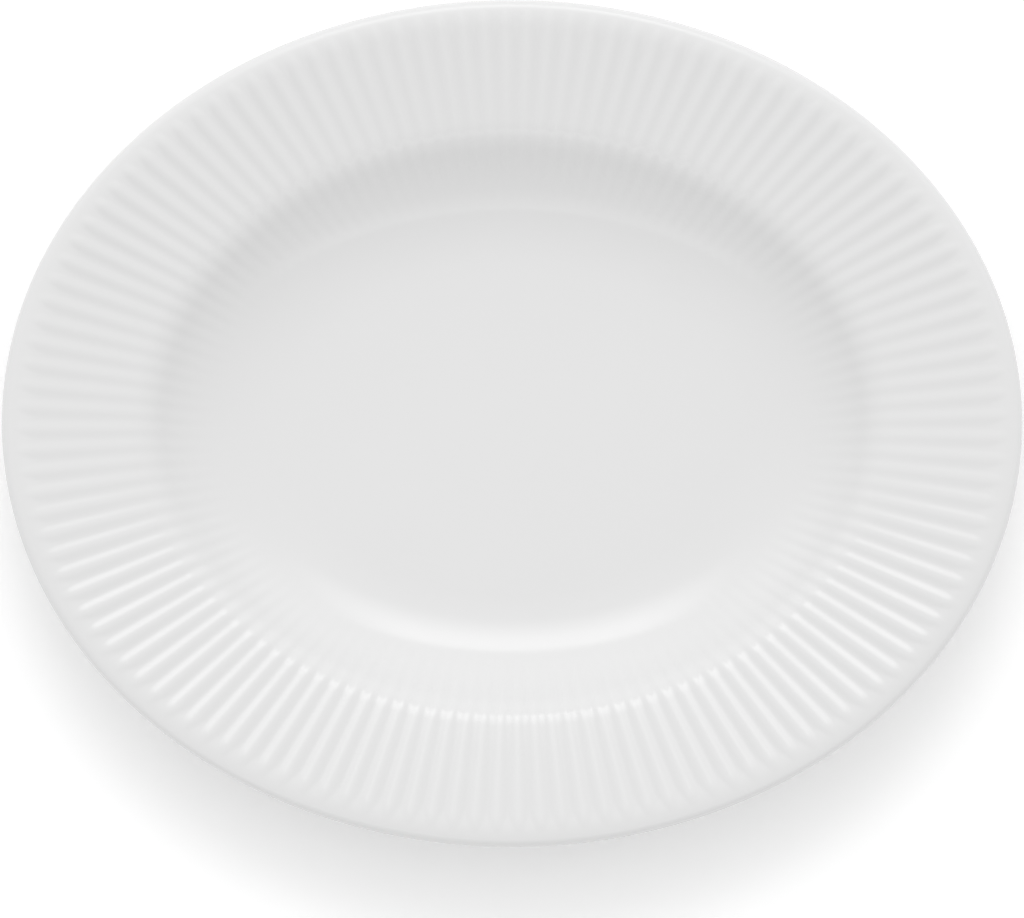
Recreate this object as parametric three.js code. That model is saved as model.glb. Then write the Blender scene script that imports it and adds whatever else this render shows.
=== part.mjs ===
// A deep oval plate: one fired porcelain body with a ribbed rim and well wall, a glaze coat fused over its
// top, lip and outside down to the foot ring, and a second glaze pool inside the foot ring. The bottom of
// the foot ring stays bare. Millimetres, +Z up, +X along the plate's length, origin on the surface that the
// plate stands on, under its middle.
import * as THREE from "three";

// Overall size of the finished, glazed plate
const plateLength = 310;
const plateWidth = 260;

// Heights, from the table up: foot, floor, well wall, rim
const footHeight = 6;
const floorThickness = 5.5;
const wellDepth = 15;
const rimRise = 6.5;

// Rim and well in plan: "ends" lie on the long axis, "flanks" on the short axis. The wall runs down from the
// shoulder to where it would meet the floor, and a basin curve takes that corner off
const rimWidthEnds = 44;
const rimWidthFlanks = 41;
const wallRunEnds = 15.5;
const wallRunFlanks = 19;
const basinReachEnds = 29;
const basinReachFlanks = 18;
const shoulderReach = 4;

// Shell, and the plain lip that falls away outside the ribs
const wallThickness = 4.4;
const lipThickness = 3.8;
const lipBand = 4.8;
const lipFall = 0.75;

// Foot ring, under the corner where the wall meets the floor
const footInset = 1;
const footWidth = 4.5;
const footRound = 0.7;
const footDraft = 0.8;
const footCove = 1.6;
const recessRound = 0.9;

// Ribs with flutes between them: evenly spaced along the lip, each one straight in plan
const ribCount = 128;
const ribHeight = 0.45;
const ribPhase = 0.3;
const ribAim = 15.4;
const ribRunOuter = 3.4;

// Glaze, with the clearance that keeps the glass and the body two solids
const glazeThickness = 0.3;
const glazeBond = 0.03;
const glazeLine = 1.7;

// Facets round the plate: two for each rib, fewer where it is plain
const ribbedFacets = 2 * ribCount;
const lipFacets = 128;
const plainFacets = 64;
const middleFacets = 32;

// Sizes that follow
const glazeBuild = glazeThickness + glazeBond;
const lipEnds = plateLength / 2 - glazeBuild;
const lipFlanks = plateWidth / 2 - glazeBuild;
const shoulderEnds = lipEnds - rimWidthEnds;
const shoulderFlanks = lipFlanks - rimWidthFlanks;
const cornerEnds = shoulderEnds - wallRunEnds;
const cornerFlanks = shoulderFlanks - wallRunFlanks;
const floorEnds = cornerEnds - basinReachEnds;
const floorFlanks = cornerFlanks - basinReachFlanks;
const floorZ = footHeight + floorThickness;
const shoulderZ = floorZ + wellDepth;
const crestZ = shoulderZ + rimRise;
const lipRound = lipThickness / 2;

// Lengths along the lip, so that equal shares of it can be turned into an oval's angle
const lipSteps = 1440;
const lipLengths = [0];
for (let i = 1; i <= lipSteps; i += 1) {
  const angle = ((i - 0.5) / lipSteps) * 2 * Math.PI;
  const stride = Math.hypot(lipEnds * Math.sin(angle), lipFlanks * Math.cos(angle));
  lipLengths.push(lipLengths[i - 1] + stride);
}

function lipAngle(share) {
  const turns = Math.floor(share);
  const target = (share - turns) * lipLengths[lipSteps];
  const next = Math.max(1, lipLengths.findIndex((length) => length >= target));
  const stride = lipLengths[next] - lipLengths[next - 1];
  const step = next - 1 + (target - lipLengths[next - 1]) / stride;
  return (turns + step / lipSteps) * 2 * Math.PI;
}

// One upright cutting plane: from a point near the middle, straight out through a point of the lip
function cuttingPlane(share) {
  const angle = lipAngle(share);
  const start = new THREE.Vector2(ribAim * Math.cos(angle), 0);
  const lip = new THREE.Vector2(lipEnds * Math.cos(angle), lipFlanks * Math.sin(angle));
  const way = lip.clone().sub(start).normalize();
  return { start, way };
}

// How far out along a cutting plane an oval with these half-sizes lies
function reach(plane, ends, flanks) {
  const a = (plane.way.x / ends) ** 2 + (plane.way.y / flanks) ** 2;
  const b = (plane.start.x * plane.way.x) / ends ** 2;
  const c = (plane.start.x / ends) ** 2 - 1;
  return (Math.sqrt(b * b - a * c) - b) / a;
}

function towards(from, to, distance) {
  return to.clone().sub(from).setLength(distance).add(from);
}

function roundedCorner(start, corner, end, share) {
  const first = start.clone().lerp(corner, share);
  return first.lerp(corner.clone().lerp(end, share), share);
}

// The body's section in one cutting plane, as distance out and height, from the floor's middle over the
// lip to the middle of the recess inside the foot
function bodySection(plane) {
  const point = (out, height) => new THREE.Vector2(out, height);
  const lipOut = reach(plane, lipEnds, lipFlanks);
  const crest = point(lipOut - lipBand, crestZ);
  const lipCorner = point(lipOut, crestZ - lipFall);
  const lipEdge = point(lipOut, lipCorner.y - lipRound);
  const lipTop = towards(lipCorner, crest, lipRound);
  const lipBottom = point(lipOut - lipRound, lipCorner.y - lipThickness);
  const shoulder = point(reach(plane, shoulderEnds, shoulderFlanks), shoulderZ);
  const corner = point(reach(plane, cornerEnds, cornerFlanks), floorZ);

  const floorEnd = point(reach(plane, floorEnds, floorFlanks), floorZ);
  const wallEnd = towards(shoulder, corner, shoulderReach);
  const rimStart = towards(shoulder, crest, shoulderReach);

  const rimWay = shoulder.clone().sub(crest).normalize();
  const wallWay = corner.clone().sub(shoulder).normalize();
  const rimBelow = point(-rimWay.y, rimWay.x);
  const wallBelow = point(-wallWay.y, wallWay.x);
  const mitre = rimBelow.clone().add(wallBelow).multiplyScalar(wallThickness / (1 + rimBelow.dot(wallBelow)));
  const shoulderBelow = shoulder.clone().add(mitre);
  const joinZ = footHeight + footCove;
  const wallFoot = point(shoulderBelow.x + ((joinZ - shoulderBelow.y) * wallWay.x) / wallWay.y, joinZ);

  const footOut = corner.x - footInset;
  const footIn = footOut - footWidth;
  return {
    floorMiddle: point(floorEnd.x / 2, floorZ),
    floorEnd,
    basinLow: roundedCorner(floorEnd, corner, wallEnd, 0.25),
    basinMiddle: roundedCorner(floorEnd, corner, wallEnd, 0.5),
    basinHigh: roundedCorner(floorEnd, corner, wallEnd, 0.75),
    wallEnd,
    shoulderMiddle: roundedCorner(wallEnd, shoulder, rimStart, 0.5),
    rimStart,
    ribEnd: towards(crest, shoulder, ribRunOuter),
    crest,
    lipTop,
    lipUpper: roundedCorner(lipTop, lipCorner, lipEdge, 0.5),
    lipEdge,
    lipLower: roundedCorner(lipEdge, point(lipOut, lipBottom.y), lipBottom, 0.5),
    lipBottom,
    shoulderBelow,
    wallFoot,
    footTop: point(footOut + footDraft, footHeight),
    footLine: point(footOut + (footDraft * glazeLine) / footHeight, glazeLine),
    footOuter: point(footOut, footRound),
    restOuter: point(footOut - footRound, 0),
    restInner: point(footIn + footRound, 0),
    footInner: point(footIn, footRound),
    recessLine: point(footIn - (footDraft * glazeLine) / footHeight, glazeLine),
    recessWall: point(footIn - footDraft, footHeight - recessRound),
    recessEdge: point(footIn - footDraft - recessRound, footHeight),
    recessMiddle: point((footIn - footDraft - recessRound) / 2, footHeight),
  };
}

// Rings of the body from the floor's middle to the recess's middle: how many facets each one has, and
// whether the ribs stand on it
const rings = [
  { name: "floorMiddle", facets: middleFacets },
  { name: "floorEnd", facets: plainFacets },
  { name: "basinLow", facets: plainFacets },
  { name: "basinMiddle", facets: lipFacets },
  { name: "basinHigh", facets: ribbedFacets, ribbed: true },
  { name: "wallEnd", facets: ribbedFacets, ribbed: true },
  { name: "shoulderMiddle", facets: ribbedFacets, ribbed: true },
  { name: "rimStart", facets: ribbedFacets, ribbed: true },
  { name: "ribEnd", facets: ribbedFacets, ribbed: true },
  { name: "crest", facets: lipFacets },
  { name: "lipTop", facets: lipFacets },
  { name: "lipUpper", facets: lipFacets },
  { name: "lipEdge", facets: lipFacets },
  { name: "lipLower", facets: lipFacets },
  { name: "lipBottom", facets: plainFacets },
  { name: "shoulderBelow", facets: plainFacets },
  { name: "wallFoot", facets: plainFacets },
  { name: "footTop", facets: plainFacets },
  { name: "footLine", facets: plainFacets },
  { name: "footOuter", facets: plainFacets },
  { name: "restOuter", facets: plainFacets },
  { name: "restInner", facets: plainFacets },
  { name: "footInner", facets: plainFacets },
  { name: "recessLine", facets: plainFacets },
  { name: "recessWall", facets: plainFacets },
  { name: "recessEdge", facets: plainFacets },
  { name: "recessMiddle", facets: middleFacets },
];
const ringNames = rings.map((ring) => ring.name);

// The section's outward direction at a ring, long enough to keep a coat's thickness round a corner
function outward(section, index) {
  const here = section[ringNames[index]];
  const normals = [];
  for (const [from, to] of [[index - 1, index], [index, index + 1]]) {
    const inner = from < 0 ? new THREE.Vector2(0, floorZ) : section[ringNames[from]];
    const outer = to >= rings.length ? new THREE.Vector2(0, footHeight) : section[ringNames[to]];
    const way = outer.clone().sub(inner).normalize();
    normals.push(new THREE.Vector2(-way.y, way.x));
  }
  const mitre = normals[0].clone().add(normals[1]);
  return { here, normal: mitre.multiplyScalar(1 / (1 + normals[0].dot(normals[1]))) };
}

// A closed or open skin of rings, collected as points and triangles
class Skin {
  constructor() {
    this.points = [];
    this.triangles = [];
  }

  ring(index, lift) {
    const { facets, ribbed } = rings[index];
    const shares = [];
    const first = this.points.length;
    for (let k = 0; k < facets; k += 1) {
      const share = ribbed ? (k / 2 + ribPhase) / ribCount : k / facets;
      const plane = cuttingPlane(share);
      const { here, normal } = outward(bodySection(plane), index);
      const rib = ribbed && k % 2 === 0 ? ribHeight : 0;
      const out = here.x + normal.x * (lift + rib);
      const height = here.y + normal.y * (lift + rib);
      this.points.push(new THREE.Vector3(
        plane.start.x + plane.way.x * out,
        plane.start.y + plane.way.y * out,
        height,
      ));
      shares.push(share);
    }
    return { first, shares };
  }

  triangle(a, b, c, facing) {
    this.triangles.push(facing > 0 ? [a, b, c] : [a, c, b]);
  }

  // Triangles between two rings that may have different numbers of points
  band(inner, outer, facing) {
    const share = (ring, k) => ring.shares[k % ring.shares.length] + Math.floor(k / ring.shares.length);
    const index = (ring, k) => ring.first + (k % ring.shares.length);
    let i = 0;
    let o = 0;
    while (i < inner.shares.length || o < outer.shares.length) {
      const outerNext = i >= inner.shares.length
        || (o < outer.shares.length && share(outer, o + 1) <= share(inner, i + 1));
      if (outerNext) {
        this.triangle(index(inner, i), index(outer, o), index(outer, o + 1), facing);
        o += 1;
      } else {
        this.triangle(index(inner, i), index(outer, o), index(inner, i + 1), facing);
        i += 1;
      }
    }
  }

  // Triangles from a middle point to the ring around it, facing up (+1) or down (-1)
  cap(height, ring, facing) {
    const middle = this.points.length;
    this.points.push(new THREE.Vector3(0, 0, height));
    const facets = ring.shares.length;
    for (let k = 0; k < facets; k += 1) {
      this.triangle(middle, ring.first + k, ring.first + ((k + 1) % facets), facing);
    }
  }

  // A run of rings and the bands between them, facing away from the body (+1) or towards it (-1)
  run(from, to, lift, facing) {
    const made = [];
    for (let index = from; index <= to; index += 1) {
      made.push(this.ring(index, lift));
    }
    for (let k = 1; k < made.length; k += 1) {
      this.band(made[k - 1], made[k], facing);
    }
    return { first: made[0], last: made[made.length - 1] };
  }

  geometry() {
    const geometry = new THREE.BufferGeometry();
    geometry.setFromPoints(this.points);
    geometry.setIndex(this.triangles.flat());
    return geometry;
  }
}

function porcelainBody() {
  const skin = new Skin();
  const { first, last } = skin.run(0, rings.length - 1, 0, 1);
  skin.cap(floorZ, first, 1);
  skin.cap(footHeight, last, -1);
  return skin.geometry();
}

// A coat from the floor's middle over the lip to the glaze line on the foot's outside
function glazeCoat() {
  const skin = new Skin();
  const edge = ringNames.indexOf("footLine");
  const surface = skin.run(0, edge, glazeBuild, 1);
  const bonded = skin.run(0, edge, glazeBond, -1);
  skin.band(surface.last, bonded.last, 1);
  skin.cap(floorZ + glazeBuild, surface.first, 1);
  skin.cap(floorZ + glazeBond, bonded.first, -1);
  return skin.geometry();
}

// A pool from the glaze line on the foot's inside over the whole recess
function footWellGlaze() {
  const skin = new Skin();
  const edge = ringNames.indexOf("recessLine");
  const surface = skin.run(edge, rings.length - 1, glazeBuild, 1);
  const bonded = skin.run(edge, rings.length - 1, glazeBond, -1);
  skin.band(bonded.first, surface.first, 1);
  skin.cap(footHeight - glazeBuild, surface.last, -1);
  skin.cap(footHeight - glazeBond, bonded.last, 1);
  return skin.geometry();
}

const plate = new THREE.Group();

function addPiece(name, geometry, finish) {
  const piece = new THREE.Mesh(geometry, new THREE.MeshStandardMaterial(finish));
  piece.name = name;
  plate.add(piece);
}

addPiece("porcelain_body", porcelainBody(), { color: 0xf1efe9, roughness: 0.7, metalness: 0 });
addPiece("glaze_coat", glazeCoat(), { color: 0xf4f4f3, roughness: 0.12, metalness: 0 });
addPiece("foot_well_glaze", footWellGlaze(), { color: 0xf4f4f3, roughness: 0.14, metalness: 0 });

export default plate;
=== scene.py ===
import math

import bpy
import numpy as np
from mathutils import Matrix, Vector


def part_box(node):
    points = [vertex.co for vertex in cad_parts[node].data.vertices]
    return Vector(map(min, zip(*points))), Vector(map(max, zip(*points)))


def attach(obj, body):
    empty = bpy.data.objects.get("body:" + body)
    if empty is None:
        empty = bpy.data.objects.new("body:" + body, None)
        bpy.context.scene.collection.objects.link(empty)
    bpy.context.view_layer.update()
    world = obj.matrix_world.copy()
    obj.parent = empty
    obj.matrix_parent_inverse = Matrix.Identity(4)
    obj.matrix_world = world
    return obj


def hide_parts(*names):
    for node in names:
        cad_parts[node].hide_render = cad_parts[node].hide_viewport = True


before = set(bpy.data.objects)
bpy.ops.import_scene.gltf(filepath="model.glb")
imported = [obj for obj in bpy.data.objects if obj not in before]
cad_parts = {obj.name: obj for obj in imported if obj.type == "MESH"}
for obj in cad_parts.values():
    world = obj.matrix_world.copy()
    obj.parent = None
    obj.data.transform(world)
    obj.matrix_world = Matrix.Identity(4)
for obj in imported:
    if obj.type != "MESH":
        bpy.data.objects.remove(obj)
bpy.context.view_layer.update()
print("frame loaded:", ", ".join(sorted(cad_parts)))

mm = 0.001
bodyHigh = np.array(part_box("porcelain_body")[1]) / mm
coatHigh = np.array(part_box("glaze_coat")[1]) / mm
poolHigh = np.array(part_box("foot_well_glaze")[1]) / mm


def toLinear(hexColour):
    channels = [int(hexColour[i:i + 2], 16) / 255 for i in (1, 3, 5)]
    return tuple(c / 12.92 if c <= 0.04045 else ((c + 0.055) / 1.055) ** 2.4 for c in channels) + (1.0,)


def addNode(tree, kind, inputs=None, **settings):
    node = tree.nodes.new(kind)
    for name, value in settings.items():
        setattr(node, name, value)
    for name, value in (inputs or {}).items():
        if isinstance(value, bpy.types.NodeSocket):
            tree.links.new(value, node.inputs[name])
        else:
            node.inputs[name].default_value = value
    return node


# sizes are in mm, "along" on the plate's long axis and "across" on its short one
glaze = {
    "build": coatHigh[0] - bodyHigh[0],    # glaze and the seam under it
    "seam": 0.03,                          # clearance to the fired body
    "edgeRoll": 0.96,                      # how far the glaze thins where it ends, 1 is to nothing
}
body = {
    "lipAlong": bodyHigh[0],               # half length and half width of the fired body
    "lipAcross": bodyHigh[1],
    "crest": bodyHigh[2],
    "lipThickness": 3.8,
    "lipBand": 4.8,                        # plain lip outside the ribs
    "lipFall": 0.5,                        # how far the plain lip falls from the crest to its edge
    "lipBevel": 2.6,                       # how far in the lip's rounding starts on top
    "crestReach": 1.6,                     # from the crest's corner to where its curve starts
    "rimAlong": 44.0,                      # lip to shoulder
    "rimAcross": 41.0,
    "rimRise": 6.5,
    "shoulderReach": 4.8,
    "wallAlong": 15.5,                     # shoulder to where wall and floor would meet
    "wallAcross": 19.0,
    "wellDepth": 15.0,
    "basinAlong": 29.0,                    # from there to where the floor is flat
    "basinAcross": 18.0,
    "wallThickness": 4.4,
    "underReach": 8.0,                     # curve under the shoulder
    "footHeight": poolHigh[2] + glaze["seam"],
    "footInset": 1.0,
    "footWidth": 4.5,
    "footRound": 0.7,
    "footDraft": 0.8,
    "footCove": 1.6,
    "coveReach": 2.4,
    "recessRound": 0.9,
    "glazeLine": 1.7,
}
ribs = {
    "count": 128,
    "phase": 0.3,                          # first ridge, in ribs from the +X end
    "aim": 15.4,                           # point on the long axis that the ribs of an end aim at
    "drift": (-0.14, 0.08),                # how far the ribs wander, in ribs, once and twice a turn
    "height": 0.45,
    "endDrop": 0.45,                       # how much lower the ribs are at the two ends
    "endStart": 0.9,                       # where that starts, as the part of a rib's way that is along
    "width": 1.0,                          # over 1 makes a rib wider than the flute beside it
    "outerRun": 4.5,                       # rise from the plain lip
    "outerTaper": 4.0,                     # how far the rib's round tip reaches past the flute's end
    "innerRun": 48.0,                      # slow run-out over the rim and down the wall
}


lipSteps = 7200                            # pieces that the lip's length is measured in


def lipAngles(shares):                     # equal shares of the lip's length as angles of its oval
    steps = np.linspace(0, 2 * math.pi, lipSteps + 1)
    middles = (steps[1:] + steps[:-1]) / 2
    strides = np.hypot(body["lipAlong"] * np.sin(middles), body["lipAcross"] * np.cos(middles))
    lengths = np.concatenate([[0], np.cumsum(strides)])
    return np.interp(shares, lengths / lengths[-1], steps)


def cutPlanes(shares):                     # upright planes that the ribs lie in, out through the lip
    turn = 2 * math.pi * shares
    once, twice = ribs["drift"]
    wander = (once * np.cos(turn) + twice * np.sin(2 * turn)) / ribs["count"]
    angles = lipAngles((shares + wander) % 1)
    startX = ribs["aim"] * np.cos(angles)
    wayX = body["lipAlong"] * np.cos(angles) - startX
    wayY = body["lipAcross"] * np.sin(angles)
    length = np.hypot(wayX, wayY)
    return {"startX": startX, "wayX": wayX / length, "wayY": wayY / length}


def reach(planes, along, across):          # how far out an oval with these half sizes lies
    a = (planes["wayX"] / along) ** 2 + (planes["wayY"] / across) ** 2
    b = planes["startX"] * planes["wayX"] / along ** 2
    c = (planes["startX"] / along) ** 2 - 1
    return (np.sqrt(b * b - a * c) - b) / a


def towards(a, b, distance):
    way = b - a
    return a + way * (distance / np.hypot(way[0], way[1]))


def straight(a, b):
    return lambda share: a + (b - a) * share


def bend(a, corner, b):
    return lambda share: a * (1 - share) ** 2 + corner * 2 * share * (1 - share) + b * share ** 2


def part(curve, first, last):
    return lambda share: curve(first + (last - first) * share)


# the fired body's section in a set of planes, from the floor's middle over the lip to the recess's middle
def sectionCurves(planes):
    def point(out, height):
        return np.array([out + 0 * planes["wayX"], height + 0 * planes["wayX"]])

    lipRound = body["lipThickness"] / 2
    lipOut = reach(planes, body["lipAlong"], body["lipAcross"])
    shoulderZ = body["crest"] - body["rimRise"]
    floorZ = shoulderZ - body["wellDepth"]
    lipZ = body["crest"] - body["lipFall"]
    shoulderAlong = body["lipAlong"] - body["rimAlong"]
    shoulderAcross = body["lipAcross"] - body["rimAcross"]
    cornerAlong = shoulderAlong - body["wallAlong"]
    cornerAcross = shoulderAcross - body["wallAcross"]
    crest = point(lipOut - body["lipBand"], body["crest"])
    lipCorner = point(lipOut, lipZ)
    shoulder = point(reach(planes, shoulderAlong, shoulderAcross), shoulderZ)
    corner = point(reach(planes, cornerAlong, cornerAcross), floorZ)

    # top
    floorAlong = cornerAlong - body["basinAlong"]
    floorAcross = cornerAcross - body["basinAcross"]
    floorEnd = point(reach(planes, floorAlong, floorAcross), floorZ)
    wallEnd = towards(shoulder, corner, body["shoulderReach"])
    basin = bend(floorEnd, corner, wallEnd)
    rimStart = towards(shoulder, crest, body["shoulderReach"])
    rimEnd = towards(crest, shoulder, body["crestReach"])
    ribEnd = towards(rimEnd, shoulder, ribs["outerRun"] + ribs["outerTaper"])
    bandStart = towards(crest, lipCorner, body["crestReach"])
    bandEnd = towards(lipCorner, crest, body["lipBevel"])
    lipEdge = point(lipOut, lipZ - lipRound)

    # underside, a wall's thickness below
    lipBottom = point(lipOut - lipRound, lipZ - body["lipThickness"])
    rimWay = (shoulder - crest) / np.hypot(*(shoulder - crest))
    wallWay = (corner - shoulder) / np.hypot(*(corner - shoulder))
    rimBelow = np.array([-rimWay[1], rimWay[0]])
    wallBelow = np.array([-wallWay[1], wallWay[0]])
    mitre = (rimBelow + wallBelow) * body["wallThickness"] / (1 + (rimBelow * wallBelow).sum(0))
    shoulderBelow = shoulder + mitre
    joinZ = body["footHeight"] + body["footCove"]
    wallFoot = point(shoulderBelow[0] + (joinZ - shoulderBelow[1]) * wallWay[0] / wallWay[1], joinZ)
    rimBelowEnd = towards(shoulderBelow, lipBottom, body["underReach"])
    wallBelowStart = towards(shoulderBelow, wallFoot, body["underReach"])
    wallBelowEnd = towards(wallFoot, shoulderBelow, body["coveReach"])

    # foot ring and recess
    footOut = corner[0] - body["footInset"]
    footIn = footOut - body["footWidth"]
    lean = body["footDraft"] * body["glazeLine"] / body["footHeight"]
    footRound = body["footRound"]
    footTop = point(footOut + body["footDraft"], body["footHeight"])
    footLine = point(footOut + lean, body["glazeLine"])
    footHigh = (footTop + footLine) / 2
    ledge = (wallFoot + footTop) / 2
    recessLine = point(footIn - lean, body["glazeLine"])
    recessWall = point(footIn - body["footDraft"], body["footHeight"])
    recessLow = towards(recessWall, recessLine, body["recessRound"])
    recessStart = point(recessWall[0] - 2 * body["recessRound"], body["footHeight"])
    footSideEnd = point(footOut, footRound)
    restStart = point(footOut - footRound, 0)
    restEnd = point(footIn + footRound, 0)
    footInnerStart = point(footIn, footRound)
    return {
        "floor": straight(point(0, floorZ), floorEnd),
        "basin": part(basin, 0, 0.5),
        "wall": part(basin, 0.5, 1),
        "shoulder": bend(wallEnd, shoulder, rimStart),
        "rim": straight(rimStart, ribEnd),
        "ribTips": straight(ribEnd, rimEnd),
        "crest": bend(rimEnd, crest, bandStart),
        "band": straight(bandStart, bandEnd),
        "lip": bend(bandEnd, lipCorner, lipEdge),
        "lipBelow": bend(lipEdge, point(lipOut, lipBottom[1]), lipBottom),
        "rimBelow": straight(lipBottom, rimBelowEnd),
        "shoulderBelow": bend(rimBelowEnd, shoulderBelow, wallBelowStart),
        "wallBelow": straight(wallBelowStart, wallBelowEnd),
        "cove": bend(wallBelowEnd, wallFoot, ledge),
        "footShoulder": bend(ledge, footTop, footHigh),
        "footGlazed": straight(footHigh, footLine),
        "footSide": straight(footLine, footSideEnd),
        "footOuterEdge": bend(footSideEnd, point(footOut, 0), restStart),
        "footRest": straight(restStart, restEnd),
        "footInnerEdge": bend(restEnd, point(footIn, 0), footInnerStart),
        "footInner": straight(footInnerStart, recessLine),
        "recessGlazed": straight(recessLine, recessLow),
        "recessFillet": bend(recessLow, recessWall, recessStart),
        "recess": straight(recessStart, point(0, body["footHeight"])),
    }


# how finely each stretch is drawn: rows along it and points round it
fineRows = {
    "floor": (7, 256), "basin": (12, 256),
    "wall": (9, 1536), "shoulder": (8, 1536), "rim": (3, 1536), "ribTips": (12, 1536), "crest": (4, 1536),
    "band": (3, 512), "lip": (8, 512), "lipBelow": (6, 512),
    "rimBelow": (8, 256), "shoulderBelow": (10, 256), "wallBelow": (5, 256), "cove": (6, 256),
    "footShoulder": (6, 256), "footGlazed": (6, 256),
    "footSide": (3, 256), "footOuterEdge": (6, 256), "footRest": (4, 256), "footInnerEdge": (6, 256),
    "footInner": (3, 256),
    "recessGlazed": (6, 256), "recessFillet": (8, 256), "recess": (6, 128),
}
stretchNames = list(fineRows)
coatStretches = stretchNames[:stretchNames.index("footSide")]
bareStretches = stretchNames[stretchNames.index("footSide"):stretchNames.index("recessGlazed")]
poolStretches = stretchNames[stretchNames.index("recessGlazed"):]
ribbedStretches = ("wall", "shoulder", "rim", "ribTips", "crest")
hiddenCount = 512                          # most points round under the glaze, where nothing shows
hiddenThinning = 3                         # rows there, to one of these
fewestRows = 2
slopeStep = 0.01                           # part of a stretch that its slope is taken over
middleShare = 0.35                         # part of the floor and recess that is one flat fan
curvesByCount = {}


def ringAt(stretch, share, count, lift):
    if count not in curvesByCount:
        planes = cutPlanes((ribs["phase"] / ribs["count"] + np.arange(count) / count) % 1)
        curvesByCount[count] = (planes, sectionCurves(planes))
    planes, curves = curvesByCount[count]
    here = curves[stretch](share)
    way = curves[stretch](min(share + slopeStep, 1)) - curves[stretch](max(share - slopeStep, 0))
    normal = np.array([-way[1], way[0]]) / np.hypot(way[0], way[1])
    out, height = here + normal * lift
    ribbed = float(stretch in ribbedStretches)
    endShare = np.clip((np.abs(planes["wayX"]) - ribs["endStart"]) / (1 - ribs["endStart"]), 0, 1)
    rise = 1 - ribs["endDrop"] * endShare
    outward = np.stack([planes["wayX"] * normal[0], planes["wayY"] * normal[0], normal[1]], 1)
    return {
        "place": np.stack([planes["startX"] + planes["wayX"] * out, planes["wayY"] * out, height], 1) * mm,
        "outward": outward * rise[:, None],
        "ribTurn": np.arange(count) * ribs["count"] / count,
        "toBand": np.hypot(*(here - curves["crest"](1))) * mm * ribbed,
        "toBasin": np.hypot(*(here - curves["wall"](0))) * mm * ribbed,
    }


def ringsAlong(stretches, lift, shown=True):
    rings = []
    for stretch in stretches:
        rows, count = fineRows[stretch]
        first, last = 0, 1
        if stretch == "floor":
            first = middleShare
        if stretch == "recess":
            last = 1 - middleShare
        if not shown:
            rows = max(fewestRows, rows // hiddenThinning)
            count = min(count, hiddenCount)
        for share in np.linspace(first, last, rows + 1)[1:]:
            rings.append(ringAt(stretch, share, count, lift(stretch, share)))
    return rings


def bandFaces(first, firstCount, second, secondCount):    # between two rings whose counts divide
    if firstCount == secondCount:
        turn = [(k, (k + 1) % firstCount) for k in range(firstCount)]
        return [(first + k, second + k, second + after, first + after) for k, after in turn]
    narrowing = firstCount > secondCount
    coarse, coarseCount = (second, secondCount) if narrowing else (first, firstCount)
    fine, fineCount = (first, firstCount) if narrowing else (second, secondCount)
    ratio = fineCount // coarseCount
    half = ratio // 2
    faces = []
    for k in range(coarseCount):
        here = coarse + k
        after = coarse + (k + 1) % coarseCount
        fan = [fine + (k * ratio + i) % fineCount for i in range(ratio + 1)]
        faces += [(here, fan[i], fan[i + 1]) for i in range(half)]
        faces.append((here, fan[half], after))
        faces += [(after, fan[i], fan[i + 1]) for i in range(half, ratio)]
    return [face[::-1] for face in faces] if narrowing else faces


def closedSkin(name, rings, firstMiddle, lastMiddle):
    counts = [len(ring["place"]) for ring in rings]
    starts = [sum(counts[:i]) for i in range(len(counts))]
    total = sum(counts)
    faces = [(total, k, (k + 1) % counts[0]) for k in range(counts[0])]
    for i in range(len(rings) - 1):
        faces += bandFaces(starts[i], counts[i], starts[i + 1], counts[i + 1])
    faces += [(total + 1, starts[-1] + (k + 1) % counts[-1], starts[-1] + k) for k in range(counts[-1])]
    mesh = bpy.data.meshes.new(name)
    places = np.vstack([ring["place"] for ring in rings] + [[firstMiddle, lastMiddle]])
    mesh.from_pydata(places.tolist(), [], faces)
    for key in ("ribTurn", "toBand", "toBasin"):
        values = np.concatenate([ring[key] for ring in rings] + [[0, 0]]).astype(np.float32)
        mesh.attributes.new(key, "FLOAT", "POINT").data.foreach_set("value", values)
    outward = np.vstack([ring["outward"] for ring in rings] + [[[0, 0, 1]] * 2]).astype(np.float32)
    mesh.attributes.new("outward", "FLOAT_VECTOR", "POINT").data.foreach_set("vector", outward.ravel())
    mesh.shade_smooth()
    piece = bpy.data.objects.new(name, mesh)
    bpy.context.scene.collection.objects.link(piece)
    return piece


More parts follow.
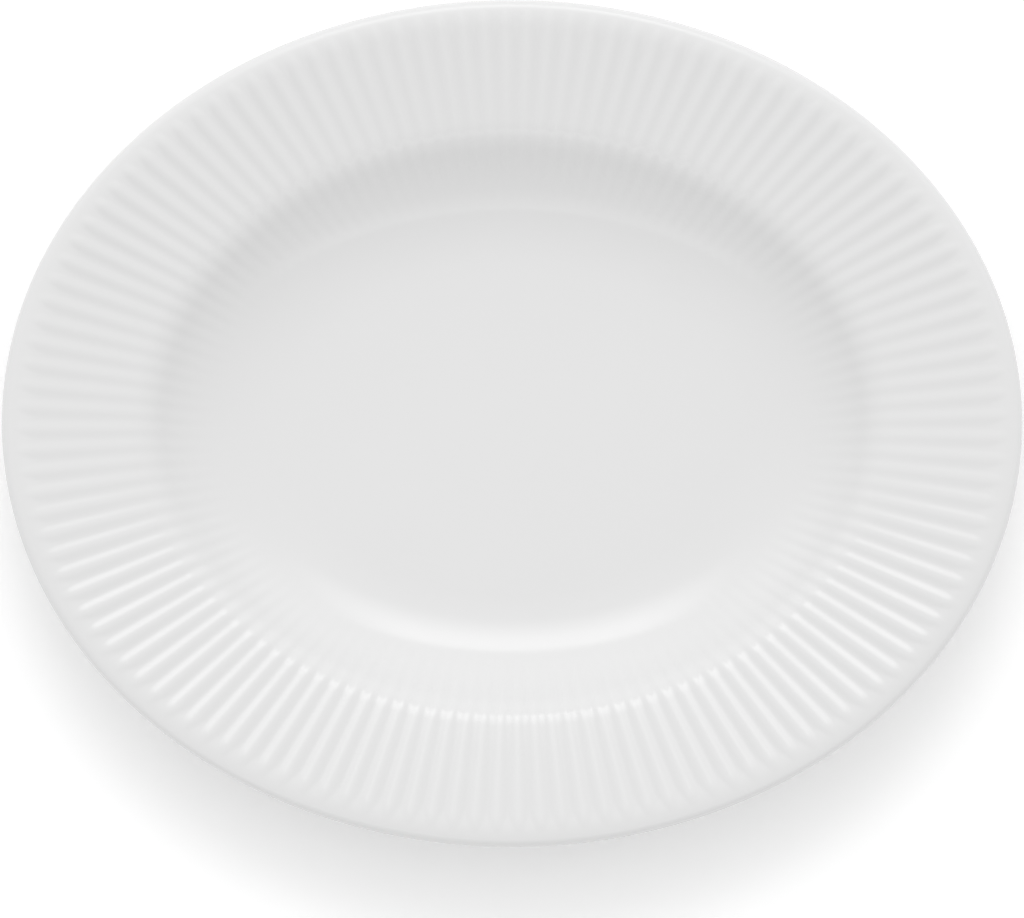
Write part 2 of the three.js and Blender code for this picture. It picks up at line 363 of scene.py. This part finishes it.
# every rib is the same round ridge, raised along the section's own outward direction
def ribbingTree():
    tree = bpy.data.node_groups.new("ribbing", "GeometryNodeTree")
    tree.interface.new_socket("Geometry", in_out="INPUT", socket_type="NodeSocketGeometry")
    for name in ("Height", "Width", "Outer Run", "Outer Taper", "Inner Run"):
        tree.interface.new_socket(name, in_out="INPUT", socket_type="NodeSocketFloat")
    tree.interface.new_socket("Finish", in_out="INPUT", socket_type="NodeSocketMaterial")
    tree.interface.new_socket("Geometry", in_out="OUTPUT", socket_type="NodeSocketGeometry")
    sizes = addNode(tree, "NodeGroupInput").outputs
    turn = addNode(tree, "GeometryNodeInputNamedAttribute", {"Name": "ribTurn"}, data_type="FLOAT")
    toBand = addNode(tree, "GeometryNodeInputNamedAttribute", {"Name": "toBand"}, data_type="FLOAT")
    toBasin = addNode(tree, "GeometryNodeInputNamedAttribute", {"Name": "toBasin"}, data_type="FLOAT")
    outward = addNode(tree, "GeometryNodeInputNamedAttribute", {"Name": "outward"},
                      data_type="FLOAT_VECTOR")

    # 0 on a rib's ridge and 1 in the middle of a flute, then a wave between them
    turned = addNode(tree, "ShaderNodeMath", {0: turn.outputs["Attribute"]}, operation="FRACT")
    spread = addNode(tree, "ShaderNodeMath", {0: turned.outputs[0], 1: 2.0, 2: -1.0},
                     operation="MULTIPLY_ADD")
    toRidge = addNode(tree, "ShaderNodeMath", {0: spread.outputs[0]}, operation="ABSOLUTE")
    aside = addNode(tree, "ShaderNodeMath", {0: 1.0, 1: toRidge.outputs[0]}, operation="SUBTRACT")
    widened = addNode(tree, "ShaderNodeMath", {0: aside.outputs[0], 1: sizes["Width"]}, operation="POWER")
    angle = addNode(tree, "ShaderNodeMath", {0: widened.outputs[0], 1: math.pi}, operation="MULTIPLY")
    wave = addNode(tree, "ShaderNodeMath", {0: angle.outputs[0]}, operation="COSINE")
    ridge = addNode(tree, "ShaderNodeMath", {0: wave.outputs[0], 1: 0.5, 2: 0.5}, operation="MULTIPLY_ADD")

    # ends: a round tip that tapers to the ridge by the lip, a slow run-out down the wall
    square = addNode(tree, "ShaderNodeMath", {0: aside.outputs[0], 1: 2.0}, operation="POWER")
    taper = addNode(tree, "ShaderNodeMath", {0: square.outputs[0], 1: sizes["Outer Taper"]},
                    operation="MULTIPLY")
    within = addNode(tree, "ShaderNodeMath", {0: toBand.outputs["Attribute"], 1: taper.outputs[0]},
                     operation="SUBTRACT")
    outer = addNode(tree, "ShaderNodeMapRange",
                    {"Value": within.outputs[0], "From Max": sizes["Outer Run"]},
                    interpolation_type="SMOOTHSTEP")
    inner = addNode(tree, "ShaderNodeMapRange",
                    {"Value": toBasin.outputs["Attribute"], "From Max": sizes["Inner Run"]})
    ends = addNode(tree, "ShaderNodeMath", {0: outer.outputs[0], 1: inner.outputs[0]}, operation="MULTIPLY")
    raised = addNode(tree, "ShaderNodeMath", {0: ridge.outputs[0], 1: ends.outputs[0]},
                     operation="MULTIPLY")
    lift = addNode(tree, "ShaderNodeMath", {0: raised.outputs[0], 1: sizes["Height"]}, operation="MULTIPLY")
    shift = addNode(tree, "ShaderNodeVectorMath",
                    {0: outward.outputs["Attribute"], "Scale": lift.outputs[0]}, operation="SCALE")
    moved = addNode(tree, "GeometryNodeSetPosition",
                    {"Geometry": sizes["Geometry"], "Offset": shift.outputs[0]})
    hollow = addNode(tree, "ShaderNodeMath", {0: ends.outputs[0], 1: raised.outputs[0]},
                     operation="SUBTRACT")
    pooled = addNode(tree, "GeometryNodeStoreNamedAttribute",
                     {"Geometry": moved.outputs[0], "Name": "pooling", "Value": hollow.outputs[0]},
                     data_type="FLOAT", domain="POINT")
    real = addNode(tree, "GeometryNodeRealizeInstances", {"Geometry": pooled.outputs[0]})
    finished = addNode(tree, "GeometryNodeSetMaterial",
                       {"Geometry": real.outputs[0], "Material": sizes["Finish"]})
    addNode(tree, "NodeGroupOutput", {"Geometry": finished.outputs[0]})
    return tree


def raiseRibs(piece, tree, finish):
    values = {
        "Height": ribs["height"] * mm,
        "Width": ribs["width"],
        "Outer Run": ribs["outerRun"] * mm,
        "Outer Taper": ribs["outerTaper"] * mm,
        "Inner Run": ribs["innerRun"] * mm,
        "Finish": finish,
    }
    modifier = piece.modifiers.new("ribbing", "NODES")
    modifier.node_group = tree
    for item in tree.interface.items_tree:
        if item.in_out == "INPUT" and item.name in values:
            modifier[item.identifier] = values[item.name]
    evaluated = piece.evaluated_get(bpy.context.evaluated_depsgraph_get())
    plain = bpy.data.meshes.new_from_object(evaluated)
    piece.modifiers.remove(modifier)
    smooth = piece.data
    piece.data = plain
    bpy.data.meshes.remove(smooth)
    plain.name = piece.name
    for key in ("ribTurn", "toBand", "toBasin", "outward"):
        plain.attributes.remove(plain.attributes[key])


# white feldspar glaze, fired to a hard gloss: clean reflections, the faint waviness of poured glass, and a
# slightly deeper tone where it pooled between the ribs
whiteGlazeLook = {
    "thin": "#efefef",
    "pooled": "#ebebeb",
    "cloud": "#ededed",
    "cloudSize": 45.0,                     # mm
    "cloudDetail": 3.0,
    "waveSize": 7.0,                       # mm, the waviness of a poured glaze
    "waveHeight": 0.006,                   # mm
    "waveDetail": 1.0,
    "glossSize": 5.0,                      # mm, patches of slightly different gloss
    "glossDetail": 2.0,
    "glossSpread": (0.3, 0.7),             # part of the noise that runs from smoothest to roughest
    "roughest": 0.12,
    "smoothest": 0.08,
    "ior": 1.52,
}


def glazedPorcelain():
    look = whiteGlazeLook
    material = bpy.data.materials.new("white_glazed_porcelain")
    material.use_nodes = True
    tree = material.node_tree
    tree.nodes.clear()
    where = addNode(tree, "ShaderNodeTexCoord").outputs["Object"]
    pooling = addNode(tree, "ShaderNodeAttribute", attribute_name="pooling", attribute_type="GEOMETRY")
    cloud = addNode(tree, "ShaderNodeTexNoise",
                    {"Vector": where, "Scale": 1 / (look["cloudSize"] * mm), "Detail": look["cloudDetail"]})
    ground = addNode(tree, "ShaderNodeMix",
                     {0: cloud.outputs[0], 6: toLinear(look["thin"]), 7: toLinear(look["cloud"])},
                     data_type="RGBA")
    colour = addNode(tree, "ShaderNodeMix",
                     {0: pooling.outputs["Fac"], 6: ground.outputs[2], 7: toLinear(look["pooled"])},
                     data_type="RGBA")
    patches = addNode(tree, "ShaderNodeTexNoise",
                      {"Vector": where, "Scale": 1 / (look["glossSize"] * mm), "Detail": look["glossDetail"]})
    glossLow, glossHigh = look["glossSpread"]
    gloss = addNode(tree, "ShaderNodeMapRange",
                    {"Value": patches.outputs[0], "From Min": glossLow, "From Max": glossHigh,
                     "To Min": look["smoothest"], "To Max": look["roughest"]})
    waves = addNode(tree, "ShaderNodeTexNoise",
                    {"Vector": where, "Scale": 1 / (look["waveSize"] * mm), "Detail": look["waveDetail"]})
    wavy = addNode(tree, "ShaderNodeBump",
                   {"Height": waves.outputs[0], "Distance": look["waveHeight"] * mm})
    shader = addNode(tree, "ShaderNodeBsdfPrincipled",
                     {"Base Color": colour.outputs[2], "Roughness": gloss.outputs[0], "IOR": look["ior"],
                      "Normal": wavy.outputs[0]})
    addNode(tree, "ShaderNodeOutputMaterial", {"Surface": shader.outputs[0]})
    return material


# hard porcelain fired bare: chalk matt, off-white, a fine sandy grain, and grey where it rubs on shelves
firedBodyLook = {
    "clay": "#e4e0d6",
    "grain": "#d5cfc2",
    "rubbed": "#bdb9b0",
    "grainSize": 0.8,                      # mm, coarser than the real 0.1 mm so that it shows
    "grainHeight": 0.03,                   # mm
    "grainNoise": (4.0, 0.7),              # detail and roughness of the noise
    "rubSize": 9.0,                        # mm
    "rubNoise": (5.0, 0.65),
    "rubSpread": (0.52, 0.75),             # part of the noise that runs from clean to rubbed
    "rubShare": 0.6,                       # how far the worst rub hides the clay
    "rubHeight": 0.2,                      # mm above the table, where rubbing ends
    "roughest": 0.9,
    "smoothest": 0.7,
    "ior": 1.5,
}


def barePorcelain():
    look = firedBodyLook
    material = bpy.data.materials.new("bare_fired_porcelain")
    material.use_nodes = True
    tree = material.node_tree
    tree.nodes.clear()
    where = addNode(tree, "ShaderNodeTexCoord").outputs["Object"]
    detail, roughness = look["grainNoise"]
    grain = addNode(tree, "ShaderNodeTexNoise",
                    {"Vector": where, "Scale": 1 / (look["grainSize"] * mm), "Detail": detail,
                     "Roughness": roughness})
    clay = addNode(tree, "ShaderNodeMix",
                   {0: grain.outputs[0], 6: toLinear(look["clay"]), 7: toLinear(look["grain"])},
                   data_type="RGBA")
    detail, roughness = look["rubNoise"]
    rubs = addNode(tree, "ShaderNodeTexNoise",
                   {"Vector": where, "Scale": 1 / (look["rubSize"] * mm), "Detail": detail,
                    "Roughness": roughness})
    clean, worst = look["rubSpread"]
    rubbed = addNode(tree, "ShaderNodeMapRange",
                     {"Value": rubs.outputs[0], "From Min": clean, "From Max": worst,
                      "To Max": look["rubShare"]})
    heights = addNode(tree, "ShaderNodeSeparateXYZ", {0: where})
    resting = addNode(tree, "ShaderNodeMapRange",
                      {"Value": heights.outputs["Z"], "From Min": look["rubHeight"] * mm, "From Max": 0.0})
    worn = addNode(tree, "ShaderNodeMath", {0: rubbed.outputs[0], 1: resting.outputs[0]},
                   operation="MULTIPLY")
    colour = addNode(tree, "ShaderNodeMix",
                     {0: worn.outputs[0], 6: clay.outputs[2], 7: toLinear(look["rubbed"])},
                     data_type="RGBA")
    dryness = addNode(tree, "ShaderNodeMapRange",
                      {"Value": grain.outputs[0], "To Min": look["roughest"], "To Max": look["smoothest"]})
    sandy = addNode(tree, "ShaderNodeBump",
                    {"Height": grain.outputs[0], "Distance": look["grainHeight"] * mm})
    shader = addNode(tree, "ShaderNodeBsdfPrincipled",
                     {"Base Color": colour.outputs[2], "Roughness": dryness.outputs[0], "IOR": look["ior"],
                      "Normal": sandy.outputs[0]})
    addNode(tree, "ShaderNodeOutputMaterial", {"Surface": shader.outputs[0]})
    return material


whiteGlaze = glazedPorcelain()
bareClay = barePorcelain()
print("materials made:", whiteGlaze.name, bareClay.name)


# the three pieces, each a chain of rings from one middle point to another
def bare(stretch, share):
    return 0.0


def seam(stretch, share):
    return glaze["seam"]


def poured(stretch, share):                # full thickness, thinning round where the glaze ends on the foot
    ended = {"footGlazed": share, "recessGlazed": 1 - share}.get(stretch, 0)
    full = glaze["build"] - glaze["seam"]
    return glaze["seam"] + full * math.sqrt(1 - (glaze["edgeRoll"] * ended) ** 2)


floorZ = (body["crest"] - body["rimRise"] - body["wellDepth"]) * mm
recessZ = body["footHeight"] * mm
ribbing = ribbingTree()

bodyRings = ringsAlong(coatStretches, bare, shown=False)
bodyRings += ringsAlong(bareStretches, bare)
bodyRings += ringsAlong(poolStretches, bare, shown=False)
firedBody = closedSkin("fired_body", bodyRings, (0, 0, floorZ), (0, 0, recessZ))
raiseRibs(firedBody, ribbing, bareClay)

coatRings = ringsAlong(coatStretches, poured) + ringsAlong(coatStretches, seam, shown=False)[::-1]
coatTop = (0, 0, floorZ + glaze["build"] * mm)
coatBottom = (0, 0, floorZ + glaze["seam"] * mm)
coat = closedSkin("white_coat", coatRings, coatTop, coatBottom)
raiseRibs(coat, ribbing, whiteGlaze)

poolRings = ringsAlong(poolStretches, seam, shown=False)[::-1] + ringsAlong(poolStretches, poured)
poolTop = (0, 0, recessZ - glaze["seam"] * mm)
poolBottom = (0, 0, recessZ - glaze["build"] * mm)
pool = closedSkin("recess_glaze", poolRings, poolTop, poolBottom)
raiseRibs(pool, ribbing, whiteGlaze)

for piece, node, slot in (
    (firedBody, "porcelain_body", "bisque_porcelain"),
    (coat, "glaze_coat", "white_glaze"),
    (pool, "foot_well_glaze", "white_glaze"),
):
    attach(piece, "root")
    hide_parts(node)
    print("piece", piece.name, "faces", len(piece.data.polygons))


# studio: a white table, a soft box behind the plate in front of a wide dim wall of light, a card overhead
# in front, and light from all round that is a little brighter behind
studio = {
    "tableSize": 8.0,                      # m
    "table": "#f6f6f6",
    "tableLift": 0.32,                     # how much whiter the camera sees the table
    "aroundLight": 0.94,
    "aroundTilt": 0.12,                    # share that the back gains and the front loses
    "panelDistance": 3.5,                  # m
}
# light is a panel's brightness, where 1 is white; size is its width and height in m; soft is how far it fades
# in from the sides, the top and the bottom in m; turn and height are degrees round and up from the plate
panels = {
    "box": {"light": 1.6, "size": (2.2, 1.55), "soft": (0.6, 0.85, 0.25), "turn": 91, "height": 54.5},
    "wall": {"light": 0.43, "size": (7.2, 4.5), "soft": (1.75, 1.8, 1.8), "turn": 94, "height": 35},
    "card": {"light": 0.55, "size": (5.0, 0.9), "soft": (1.2, 0.05, 0.8), "turn": 270, "height": 57.3},
}


def seenShare(tree):                       # 1 for what the camera sees, directly, mirrored or through glass
    path = addNode(tree, "ShaderNodeLightPath").outputs
    mirrored = addNode(tree, "ShaderNodeMath", {0: path["Is Camera Ray"], 1: path["Is Glossy Ray"]},
                       operation="MAXIMUM")
    return addNode(tree, "ShaderNodeMath", {0: mirrored.outputs[0], 1: path["Is Transmission Ray"]},
                   operation="MAXIMUM").outputs[0]


def makeTable():
    half = studio["tableSize"] / 2
    mesh = bpy.data.meshes.new("table")
    corners = [(-half, -half, 0), (half, -half, 0), (half, half, 0), (-half, half, 0)]
    mesh.from_pydata(corners, [], [(0, 1, 2, 3)])
    table = bpy.data.objects.new("table", mesh)
    bpy.context.scene.collection.objects.link(table)
    material = bpy.data.materials.new("white_paper_table")
    material.use_nodes = True
    tree = material.node_tree
    tree.nodes.clear()
    paper = addNode(tree, "ShaderNodeBsdfDiffuse", {"Color": toLinear(studio["table"])})
    level = addNode(tree, "ShaderNodeMath", {0: seenShare(tree), 1: studio["tableLift"]},
                    operation="MULTIPLY")
    whiter = addNode(tree, "ShaderNodeBsdfDiffuse", {"Color": level.outputs[0]})
    both = addNode(tree, "ShaderNodeAddShader", {0: paper.outputs[0], 1: whiter.outputs[0]})
    addNode(tree, "ShaderNodeOutputMaterial", {"Surface": both.outputs[0]})
    mesh.materials.append(material)


def lightAround():
    world = bpy.data.worlds.new("even_light")
    bpy.context.scene.world = world
    world.use_nodes = True
    tree = world.node_tree
    tree.nodes.clear()
    way = addNode(tree, "ShaderNodeTexCoord").outputs["Generated"]
    back = addNode(tree, "ShaderNodeSeparateXYZ", {0: way}).outputs["Y"]
    around = addNode(tree, "ShaderNodeMath",
                     {0: back, 1: studio["aroundLight"] * studio["aroundTilt"], 2: studio["aroundLight"]},
                     operation="MULTIPLY_ADD")
    level = addNode(tree, "ShaderNodeMapRange", {"Value": seenShare(tree), "To Min": around.outputs[0]})
    sky = addNode(tree, "ShaderNodeBackground", {"Strength": level.outputs[0]})
    addNode(tree, "ShaderNodeOutputWorld", {"Surface": sky.outputs[0]})


def panelLight(name, panel):               # a flat panel aimed at the plate, fading out towards its edges
    width, height = panel["size"]
    lamp = bpy.data.lights.new(name, "AREA")
    lamp.shape = "RECTANGLE"
    lamp.size = width
    lamp.size_y = height
    lamp.energy = panel["light"] * 4 * width * height
    lamp.use_nodes = True
    tree = lamp.node_tree
    tree.nodes.clear()
    place = addNode(tree, "ShaderNodeNewGeometry").outputs["Parametric"]
    parts = addNode(tree, "ShaderNodeSeparateXYZ", {0: place}).outputs
    up = parts["Y"]
    inward = addNode(tree, "ShaderNodeMath", {0: parts["X"], 1: 0.5}, operation="PINGPONG")
    side, top, bottom = panel["soft"]
    fadeSides = addNode(tree, "ShaderNodeMapRange", {"Value": inward.outputs[0], "From Max": side / width})
    fadeTop = addNode(tree, "ShaderNodeMapRange",
                      {"Value": up, "From Min": 1.0, "From Max": 1 - top / height})
    fadeBottom = addNode(tree, "ShaderNodeMapRange", {"Value": up, "From Max": bottom / height})
    fadeEnds = addNode(tree, "ShaderNodeMath", {0: fadeTop.outputs[0], 1: fadeBottom.outputs[0]},
                       operation="MULTIPLY")
    faded = addNode(tree, "ShaderNodeMath", {0: fadeSides.outputs[0], 1: fadeEnds.outputs[0]},
                    operation="MULTIPLY")
    glow = addNode(tree, "ShaderNodeEmission", {"Strength": faded.outputs[0]})
    addNode(tree, "ShaderNodeOutputLight", {"Surface": glow.outputs[0]})
    lit = bpy.data.objects.new(name, lamp)
    turn = math.radians(panel["turn"])
    rise = math.radians(panel["height"])
    way = Vector((math.cos(turn) * math.cos(rise), math.sin(turn) * math.cos(rise), math.sin(rise)))
    lit.location = way * studio["panelDistance"]
    lit.rotation_euler = way.to_track_quat("Z", "Y").to_euler()
    lit.visible_camera = False
    bpy.context.scene.collection.objects.link(lit)


makeTable()
lightAround()
for panelName, panel in panels.items():
    panelLight(panelName, panel)
print("studio lit")


# nearly overhead, on a long lens
view = {
    "above": 82.1,                         # degrees above the table
    "distance": 1.8,                       # m
    "aim": (0.0, -0.0122, 0.031),          # m
    "plateShare": 1021.6 / 1024,           # part of the picture's width that the plate takes
    "sensor": 36.0,                        # mm
}


def makeCamera():
    data = bpy.data.cameras.new("camera")
    data.sensor_width = view["sensor"]
    plateLength = 2 * coatHigh[0] * mm
    data.lens = view["sensor"] * view["plateShare"] * view["distance"] / plateLength
    camera = bpy.data.objects.new("camera", data)
    above = math.radians(view["above"])
    way = Vector((0, -math.cos(above), math.sin(above)))
    camera.location = Vector(view["aim"]) + way * view["distance"]
    camera.rotation_euler = way.to_track_quat("Z", "Y").to_euler()
    bpy.context.scene.collection.objects.link(camera)
    bpy.context.scene.camera = camera


makeCamera()
bpy.context.scene.view_settings.view_transform = "Standard"
print("camera set")
